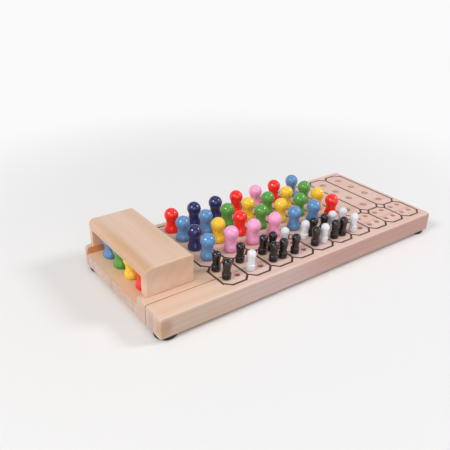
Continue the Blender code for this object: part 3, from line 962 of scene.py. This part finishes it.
def make_cover_wood():
    material, tree, shader = new_finish("cover_wood", 0.5, 0.35)
    place = own_place(tree)
    colour, height, rough = wood_pattern(
        tree, place, COVER_HEART, COVER_TILT, True, COVER_RINGS, 0.16, COVER_PALE, COVER_MID
    )
    x, y, z = parts_of(tree, place)
    wander = stretched_noise(tree, place, (60, 22, 60), 2.0, 0.5)
    wander = maths(tree, "MULTIPLY_ADD", wander, BAND_WANDER, -BAND_WANDER / 2)
    low_down = smooth_step(tree, z, *LOW_DOWN, 0.35, 1.0)
    on_end = facing_along(tree, 1)
    off_ends = maths(tree, "SUBTRACT", 1.0, on_end)
    off_front = maths(tree, "MULTIPLY_ADD", facing_along(tree, 0), -0.2, 1.0)
    may_be_amber = times(tree, off_front, off_ends, low_down)
    for band_middle, half_width, strength, strong_at, weak_at, least in AMBER_BANDS:
        off_band = maths(tree, "SUBTRACT", x, maths(tree, "ADD", wander, cover_low.x + band_middle))
        amber = smooth_step(tree, maths(tree, "ABSOLUTE", off_band), 0.0, half_width, strength, 0.0)
        fading = smooth_step(tree, y, strong_at, weak_at, 1.0, least)
        colour = mix_colours(tree, times(tree, amber, fading, may_be_amber), colour, AMBER)
    # Painted light on the end faces: lighter towards the bottom as painted bounce light, darker towards the
    # top.
    light_fading = smooth_step(tree, z, *END_LIGHT_FADES)
    colour = tint(tree, on_end, colour, mix_colours(tree, light_fading, COVER_END_LIT_LOW, COVER_END_SHADED_HIGH))
    tree.links.new(colour, shader.inputs["Base Color"])
    tree.links.new(rough, shader.inputs["Roughness"])
    fibre_bump(tree, shader, height)
    return material


def is_in_chamber(centre):
    """Whether a face lies on the walls or the ceiling of the hollow."""
    across = inner_low.y - NEAR_ENOUGH < centre.y < inner_high.y + NEAR_ENOUGH
    along = cover_low.x + MOUTH_EASE < centre.x < inner_high.x + NEAR_ENOUGH
    return across and along and centre.z < inner_high.z + NEAR_ENOUGH


cover.data.materials.clear()
cover.data.materials.append(make_cover_wood())
# The hollow's finish carries painted shade and painted warm bounced light.
cover.data.materials.append(make_torn_wood("hollow_shaded_wood", MILL_MARKS, HOLLOW_SHADED_PALE, HOLLOW_SHADED_DARK))
for face in cover.data.polygons:
    face.material_index = int(is_in_chamber(face.center))
print(sum(face.material_index for face in cover.data.polygons), "faces in the hollow")
finish_piece(cover, "cover", ["cover"])

# %% [markdown]
# ## The feet
# Four dark rubber buttons lift the board off the table. One is modelled as a disc whose lower edge is
# rounded and whose flat sole is drawn in a little, and the other three are copies.

# %% Make the feet
FOOT_EDGE = 1.0 * MM
SOLE_DEPTH = 0.35 * MM
SOLE_INSET = 1.4 * MM
RUBBER = (0.016, 0.012, 0.010, 1)
DUSTY_RUBBER = (0.045, 0.036, 0.030, 1)
FOOT_NODES = [node for node in nodes_of_part if node.startswith("foot_")]

foot_low, foot_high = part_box(FOOT_NODES[0])
foot_radius = (foot_high.x - foot_low.x) / 2
foot_height = foot_high.z - foot_low.z
foot_pattern = add_disc("foot_pattern", foot_radius, foot_height, 64, 0.0)
edit(foot_pattern, "EDGE")
pick(foot_pattern, lambda e: all(c.z < NEAR_ENOUGH for c in corners_of(e)))
round_edges(FOOT_EDGE, 5)
pick_only(foot_pattern, "FACE", lambda face: face.normal.z < -0.99)
bpy.ops.mesh.inset(thickness=SOLE_INSET)
bpy.ops.mesh.extrude_region_move(TRANSFORM_OT_translate={"value": (0, 0, SOLE_DEPTH)})
leave_edit()
shade_round(foot_pattern, 35)


def make_rubber():
    material, tree, shader = new_finish("foot_rubber", 0.7, 0.3)
    place = own_place(tree)
    dust = stretched_noise(tree, place, (700, 700, 700), 3.0, 0.6)
    colour = mix_colours(tree, dust, RUBBER, DUSTY_RUBBER)
    tree.links.new(colour, shader.inputs["Base Color"])
    fibre_bump(tree, shader, dust, 0.3)
    return material


foot_pattern.data.materials.clear()
foot_pattern.data.materials.append(make_rubber())
for node in FOOT_NODES:
    place = middle(node) - Vector((0, 0, foot_height / 2))
    foot = copy_at(foot_pattern, f"{node}_finished", place)
    finish_piece(foot, "board", [node])
discard(foot_pattern)
print(len(FOOT_NODES), "feet")

# %% [markdown]
# ## A lathe
# All the pegs are turned. On a lathe the turner cuts half an outline, and the spin makes it round. We do
# the same: one vertex is pushed from point to point along the outline, which starts and ends on the axis,
# and then the chain is spun round Z and its seam is merged. The height of each point above the seat is
# kept as an attribute, so that a finish can follow the shape of a peg wherever it stands.

# %% Turn an outline round its axis
SEAM = 0.000001


def arc(centre, radius, start, end, steps):
    """Points on an arc about a centre (out from the axis, up), by angle in degrees."""
    points = []
    for step in range(steps + 1):
        angle = math.radians(start + (end - start) * step / steps)
        points.append((centre[0] + radius * math.cos(angle), centre[1] + radius * math.sin(angle)))
    return points


def angle_to(centre, point):
    return math.degrees(math.atan2(point[1] - centre[1], point[0] - centre[0]))


def turn_on_lathe(name, outline, sides):
    """Draw half an outline in the XZ plane and spin it."""
    start_clean()
    bpy.ops.mesh.primitive_plane_add(size=MM, location=(0, 0, 0))
    piece = bpy.context.object
    piece.name = name
    bpy.ops.object.mode_set(mode="EDIT")
    bpy.ops.mesh.select_mode(type="VERT")
    bpy.ops.mesh.select_all(action="SELECT")
    bpy.ops.mesh.merge(type="CENTER")
    bpy.ops.transform.translate(value=(outline[0][0], 0, outline[0][1]))
    for before, after in zip(outline, outline[1:]):
        step = (after[0] - before[0], 0, after[1] - before[1])
        bpy.ops.mesh.extrude_region_move(TRANSFORM_OT_translate={"value": step})
    bpy.ops.mesh.select_all(action="SELECT")
    bpy.ops.mesh.spin(steps=sides, angle=math.tau, center=(0, 0, 0), axis=(0, 0, 1))
    bpy.ops.mesh.select_all(action="SELECT")
    bpy.ops.mesh.remove_doubles(threshold=SEAM)
    bpy.ops.mesh.normals_make_consistent(inside=False)
    leave_edit()
    above_seat = piece.data.attributes.new("above_seat", "FLOAT", "POINT")
    above_seat.data.foreach_set("value", [vertex.co.z for vertex in piece.data.vertices])
    choose(piece)
    bpy.ops.object.shade_smooth_by_angle(angle=math.radians(50))
    return piece


# %% [markdown]
# ## The big peg
# A ball for the head, a drawn-in waist to grip, and a foot like a small bell. Its outline is three arcs that
# run into one another without a corner. The waist's arc touches the ball from outside, which fixes its
# radius. The foot's arc touches the waist's arc and reaches its widest at a height that we choose, and that
# fixes its radius too. From there the bell drops straight and turns under with a tight corner. So a few
# sizes give the whole outline, and they are those of the solid.

# %% Turn the big peg
PEG_SPIGOT_LENGTH = 4.4 * MM
PEG_SPIGOT_RADIUS = 3.2 * MM
PEG_WAIST_RADIUS = 4.7 * MM
PEG_WAIST_HEIGHT = 8.9 * MM
PEG_HEAD_RADIUS = 6.4 * MM
PEG_BASE_RADIUS = 6.2 * MM
PEG_BASE_HEIGHT = 3.0 * MM
PEG_FOOT_CORNER = 1.4 * MM
SPIGOT_ROUND = 0.6 * MM
SPIGOT_NECK = 0.3 * MM

peg_low, peg_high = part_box(peg_node(1, 1))
PEG_HEIGHT = peg_high.z - peg_low.z - PEG_SPIGOT_LENGTH


def waist_arc_radius(head_radius, head_height, waist_radius, waist_height):
    """The radius of an arc that is narrowest at the waist and touches the head's ball."""
    rise = head_height - waist_height
    return (rise**2 + waist_radius**2 - head_radius**2) / (2 * (head_radius - waist_radius))


def foot_arc_radius(waist_centre, waist_arc, base_radius, base_height):
    """The radius of an arc that touches the waist's arc and is widest at a given height."""
    reach = waist_centre[0] - base_radius
    rise = waist_centre[1] - base_height
    return (reach**2 + rise**2 - waist_arc**2) / (2 * (waist_arc - reach))


def spigot_outline(radius, length):
    """The outline of a spigot, from its neck to the middle of its end."""
    end_centre = (radius - SPIGOT_ROUND, SPIGOT_ROUND - length)
    points = [(radius + SPIGOT_NECK, 0.0), (radius, -SPIGOT_NECK)]
    return points + arc(end_centre, SPIGOT_ROUND, 0, -90, 3) + [(0.0, -length)]


def peg_outline():
    head_centre = (0.0, PEG_HEIGHT - PEG_HEAD_RADIUS)
    waist_arc = waist_arc_radius(PEG_HEAD_RADIUS, head_centre[1], PEG_WAIST_RADIUS, PEG_WAIST_HEIGHT)
    waist_centre = (PEG_WAIST_RADIUS + waist_arc, PEG_WAIST_HEIGHT)
    foot_arc = foot_arc_radius(waist_centre, waist_arc, PEG_BASE_RADIUS, PEG_BASE_HEIGHT)
    foot_centre = (PEG_BASE_RADIUS - foot_arc, PEG_BASE_HEIGHT)
    neck = angle_to(head_centre, waist_centre)
    flare = angle_to(foot_centre, waist_centre)
    points = arc(head_centre, PEG_HEAD_RADIUS, 90, neck, 18)
    points += arc(waist_centre, waist_arc, neck + 180, flare + 180, 14)[1:]
    points += arc(foot_centre, foot_arc, flare, 0, 10)[1:]
    points += arc((PEG_BASE_RADIUS - PEG_FOOT_CORNER, PEG_FOOT_CORNER), PEG_FOOT_CORNER, 0, -90, 5)
    points += spigot_outline(PEG_SPIGOT_RADIUS, PEG_SPIGOT_LENGTH)
    points[0] = (0.0, PEG_HEIGHT)
    print("waist arc", round(waist_arc / MM, 2), "mm, foot arc", round(foot_arc / MM, 2), "mm")
    return points


peg_pattern = turn_on_lathe("peg_pattern", peg_outline(), 56)
print("big peg", len(peg_pattern.data.polygons), "faces")

# %% [markdown]
# ## The score peg
# A pin with a domed head, a slim shaft that narrows downwards, and a collar round its lowest third. The
# shaft's arc touches the dome as the waist's did. The collar has a small ledge, a rounded shoulder and a
# rounded lower edge.

# %% Turn the score peg
SCORE_SPIGOT_LENGTH = 5.0 * MM
SCORE_SPIGOT_RADIUS = 1.9 * MM
SCORE_HEAD_RADIUS = 3.85 * MM
SCORE_WAIST_RADIUS = 3.05 * MM
SCORE_WAIST_HEIGHT = 6.6 * MM
COLLAR_RADIUS = 3.8 * MM
COLLAR_HEIGHT = 5.3 * MM
COLLAR_FILLET = 0.45 * MM
COLLAR_SHOULDER = 0.5 * MM
COLLAR_FOOT = 0.7 * MM

score_low, score_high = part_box("row1_score_1_black")
SCORE_HEIGHT = score_high.z - score_low.z - SCORE_SPIGOT_LENGTH


def score_outline():
    head_centre = (0.0, SCORE_HEIGHT - SCORE_HEAD_RADIUS)
    shaft_arc = waist_arc_radius(SCORE_HEAD_RADIUS, head_centre[1], SCORE_WAIST_RADIUS, SCORE_WAIST_HEIGHT)
    shaft_centre = (SCORE_WAIST_RADIUS + shaft_arc, SCORE_WAIST_HEIGHT)
    neck = angle_to(head_centre, shaft_centre)
    points = arc(head_centre, SCORE_HEAD_RADIUS, 90, neck, 14)
    points += arc(shaft_centre, shaft_arc, neck + 180, 180, 8)[1:]
    fillet_centre = (SCORE_WAIST_RADIUS + COLLAR_FILLET, COLLAR_HEIGHT + COLLAR_FILLET)
    points += arc(fillet_centre, COLLAR_FILLET, 180, 270, 4)
    shoulder_centre = (COLLAR_RADIUS - COLLAR_SHOULDER, COLLAR_HEIGHT - COLLAR_SHOULDER)
    points += arc(shoulder_centre, COLLAR_SHOULDER, 80, 0, 4)
    points += arc((COLLAR_RADIUS - COLLAR_FOOT, COLLAR_FOOT), COLLAR_FOOT, 0, -90, 4)
    points += spigot_outline(SCORE_SPIGOT_RADIUS, SCORE_SPIGOT_LENGTH)
    points[0] = (0.0, SCORE_HEIGHT)
    return points


score_pattern = turn_on_lathe("score_pattern", score_outline(), 44)
print("score peg", len(score_pattern.data.polygons), "faces")

# %% [markdown]
# ## Gloss lacquer
# The pegs are dipped in coloured lacquer, which dries to a hard gloss. Two things keep it from looking
# like plastic. The colour lies a little deeper round the foot and in clouds, where it ran and dried
# thicker: light that crosses a thicker film twice is the colour raised to a power. And the gloss has the
# faint unevenness of a dipped coat. The clear gloss is the shader's coat. The spigot rubs in its hole, so
# wood shows through near its end.

# %% Mix the lacquers
LACQUERS = {
    "red": (0.985, 0.016, 0.007),
    "dark_blue": (0.018, 0.024, 0.140),
    "light_blue": (0.125, 0.300, 0.565),
    "yellow": (0.980, 0.620, 0.035),
    "green": (0.105, 0.370, 0.055),
    "pink": (0.980, 0.410, 0.655),
    "black": (0.006, 0.002, 0.004),
    "white": (0.780, 0.780, 0.820),
}
WORN_SPIGOT = (0.62, 0.42, 0.28, 1)
COAT_IOR = 1.6
DEEPENING = 1.35
THICK_FROM = (3.5 * MM, 0.0)
RUBBED_FROM = (-1.2 * MM, -3.6 * MM)


def make_lacquer(colour_name, colour):
    material, tree, shader = new_finish(f"lacquer_{colour_name}", 0.35, 0.05)
    shader.inputs["Coat Weight"].default_value = 1.0
    shader.inputs["Coat Roughness"].default_value = 0.05
    shader.inputs["Coat IOR"].default_value = COAT_IOR
    place = own_place(tree)
    height = add_node(tree, "ShaderNodeAttribute", attribute_name="above_seat").outputs["Fac"]
    full = (*colour, 1)
    deep = (*(channel**DEEPENING for channel in colour), 1)
    near_seat = smooth_step(tree, height, *THICK_FROM)
    cloud = stretched_noise(tree, place, (240, 240, 240), 2.0, 0.5)
    thick = times(tree, maths(tree, "MULTIPLY_ADD", cloud, 0.7, near_seat), 0.6)
    lacquer = mix_colours(tree, thick, full, deep)
    rubbed = smooth_step(tree, height, *RUBBED_FROM)
    patchy = smooth_step(tree, stretched_noise(tree, place, (900, 900, 260), 3.0, 0.6), 0.42, 0.60)
    lacquer = mix_colours(tree, times(tree, rubbed, patchy), lacquer, WORN_SPIGOT)
    tree.links.new(lacquer, shader.inputs["Base Color"])
    ripple = stretched_noise(tree, place, (420, 420, 420), 2.0, 0.5)
    bump = add_node(tree, "ShaderNodeBump", {"Height": ripple, "Strength": 0.10, "Distance": 0.0003})
    tree.links.new(bump.outputs[0], shader.inputs["Normal"])
    tree.links.new(bump.outputs[0], shader.inputs["Coat Normal"])
    return material


lacquers = {name: make_lacquer(name, colour) for name, colour in LACQUERS.items()}
print(len(lacquers), "lacquers")

# %% [markdown]
# ## Set out the pegs
# Each peg stands where its solid stands. A hand that sets pegs never turns two of them alike, and the play
# in a hole lets a peg lean by a degree or so. A seeded chance gives each copy its own turn and its own
# small lean about its seat, which stays inside the hole's play. The score pegs are pushed in from the near
# side by a right hand, so they all lean a little that way.

# %% Stand a peg in every hole that has one
ANY_WAY = (0.0, math.tau)
PEG_LEAN = (0.0, math.radians(1.1))
SCORE_LEAN = (math.radians(0.8), math.radians(2.3))
SCORE_LEAN_AXIS = (math.radians(20), math.radians(90))
chance = random.Random(7)


def stand_peg(node, pattern, spigot_length, leans, axes):
    """Copy a turned pattern to where a solid stands, lean it, and let it stand for that solid."""
    low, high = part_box(node)
    seat = Vector(((low.x + high.x) / 2, (low.y + high.y) / 2, low.z + spigot_length))
    spin = Matrix.Rotation(chance.uniform(*ANY_WAY), 4, "Z")
    axis = chance.uniform(*axes)
    lean = Matrix.Rotation(chance.uniform(*leans), 4, Vector((math.cos(axis), math.sin(axis), 0)))
    piece = copy_at(pattern, f"{node}_lacquered", Matrix.Translation(seat) @ lean @ spin)
    colour = next(name for name in LACQUERS if slot_of_node[node].endswith(f"_{name}"))
    piece.data.materials.clear()
    piece.data.materials.append(lacquers[colour])
    finish_piece(piece, node, [node])


for node in nodes_of_part:
    if "_score_" in node:
        stand_peg(node, score_pattern, SCORE_SPIGOT_LENGTH, SCORE_LEAN, SCORE_LEAN_AXIS)
    elif "_peg_" in node:
        stand_peg(node, peg_pattern, PEG_SPIGOT_LENGTH, PEG_LEAN, ANY_WAY)
discard(peg_pattern)
discard(score_pattern)

# %% [markdown]
# ## The table
# A plain pale floor carries the game and its soft shadow. It is a disc, so that it has no corner in any
# view, and it lies just under the feet. Farther out a real studio floor runs up into a lit paper backdrop.
# We get that by letting the floor turn into the backdrop's even glow between a fifth of a metre and half a
# metre out, only for the eye and for what mirrors it or shows it through, so that it lights nothing.

# %% Lay the floor
FLOOR_RADIUS = 9.0
FLOOR_DROP = 0.05 * MM
FLOOR_COLOUR = (0.86, 0.85, 0.845, 1)
BACKDROP_COLOUR = (0.96, 0.955, 0.955, 1)
BACKDROP_START = 0.20
BACKDROP_FULL = 0.50

start_clean()
bpy.ops.mesh.primitive_circle_add(
    vertices=96, radius=FLOOR_RADIUS, fill_type="NGON", location=(0, 0, cad_box[0].z - FLOOR_DROP)
)
floor = bpy.context.object
floor.name = "floor"
floor_finish, floor_tree, floor_shader = new_finish("floor_paper", 0.9, 0.1)
floor_shader.inputs["Base Color"].default_value = FLOOR_COLOUR


def seen_by_eye(tree):
    """1 for rays from the camera, from mirrors and through glass, and 0 for the rays that carry light."""
    ray = add_node(tree, "ShaderNodeLightPath").outputs
    seen = maths(tree, "MAXIMUM", ray["Is Camera Ray"], ray["Is Glossy Ray"])
    return maths(tree, "MAXIMUM", seen, ray["Is Transmission Ray"])


def show_to_eye(tree, amount, plain, shown, output):
    """Show one shader to the eye, by some amount, and keep the plain one for the light."""
    inputs = {0: times(tree, seen_by_eye(tree), amount), 1: plain.outputs[0], 2: shown.outputs[0]}
    mixed = add_node(tree, "ShaderNodeMixShader", inputs)
    tree.links.new(mixed.outputs[0], tree.nodes[output].inputs["Surface"])


distance = {0: own_place(floor_tree)}
from_game = add_node(floor_tree, "ShaderNodeVectorMath", distance, operation="LENGTH").outputs["Value"]
far_out = smooth_step(floor_tree, from_game, BACKDROP_START, BACKDROP_FULL)
backdrop = add_node(floor_tree, "ShaderNodeEmission", {"Color": BACKDROP_COLOUR, "Strength": 1.0})
show_to_eye(floor_tree, far_out, floor_shader, backdrop, "Material Output")
floor.data.materials.append(floor_finish)

# %% [markdown]
# ## The light
# Each ball in the photograph shows two highlights, a broad one at its left and a smaller one higher up at
# its right. A sphere tells where the lamps stand: the light lies where the view is mirrored at the
# highlight. So there is a wide soft box beyond the board's left end, and a smaller one beyond its right
# end. A large lamp overhead, one from the front and an even sky fill the shadows. The gloss mirrors the room
# too: the pale backdrop all round, and a dimmer ceiling above it.

# %% Set up the lamps
LAMP_AIM = Vector((-0.02, 0.0, 0.02))
SKY_COLOUR = (0.97, 0.98, 1.0, 1)
SKY_STRENGTH = 0.37
CEILING_COLOUR = (0.30, 0.30, 0.31, 1)
CEILING_FROM = (0.15, 0.60)


def add_lamp(name, direction, distance, size, power, colour=(1, 1, 1)):
    """A soft box, of a width and a height, that faces the game from a direction."""
    data = bpy.data.lights.new(name, "AREA")
    data.shape = "RECTANGLE"
    data.size, data.size_y = size
    data.energy = power
    data.color = colour
    lamp = bpy.data.objects.new(name, data)
    away = Vector(direction).normalized()
    facing = away.to_track_quat("Z", "Y").to_matrix().to_4x4()
    lamp.matrix_world = Matrix.Translation(LAMP_AIM + away * distance) @ facing
    bpy.context.scene.collection.objects.link(lamp)


add_lamp("left_soft_box", (-0.76, -0.07, 0.65), 2.2, (0.85, 0.60), 21.5, (1.0, 0.985, 0.965))
add_lamp("right_soft_box", (0.65, -0.40, 0.65), 1.5, (0.40, 0.40), 7.5, (0.96, 0.98, 1.0))
add_lamp("top_fill", (0.05, 0.10, 0.99), 1.9, (1.6, 1.6), 4.5)
add_lamp("front_fill", (-0.40, -0.82, 0.40), 2.6, (2.8, 2.0), 17.0)

world = bpy.data.worlds.new("studio")
world.use_nodes = True
room = world.node_tree
sky = room.nodes["Background"]
sky.inputs["Color"].default_value = SKY_COLOUR
sky.inputs["Strength"].default_value = SKY_STRENGTH
direction = add_node(room, "ShaderNodeTexCoord").outputs["Generated"]
overhead = smooth_step(room, parts_of(room, direction)[2], *CEILING_FROM)
studio = mix_colours(room, overhead, BACKDROP_COLOUR, CEILING_COLOUR)
seen = add_node(room, "ShaderNodeBackground", {"Color": studio, "Strength": 1.0})
show_to_eye(room, 1.0, sky, seen, "World Output")
bpy.context.scene.world = world
bpy.context.scene.view_settings.view_transform = "Standard"
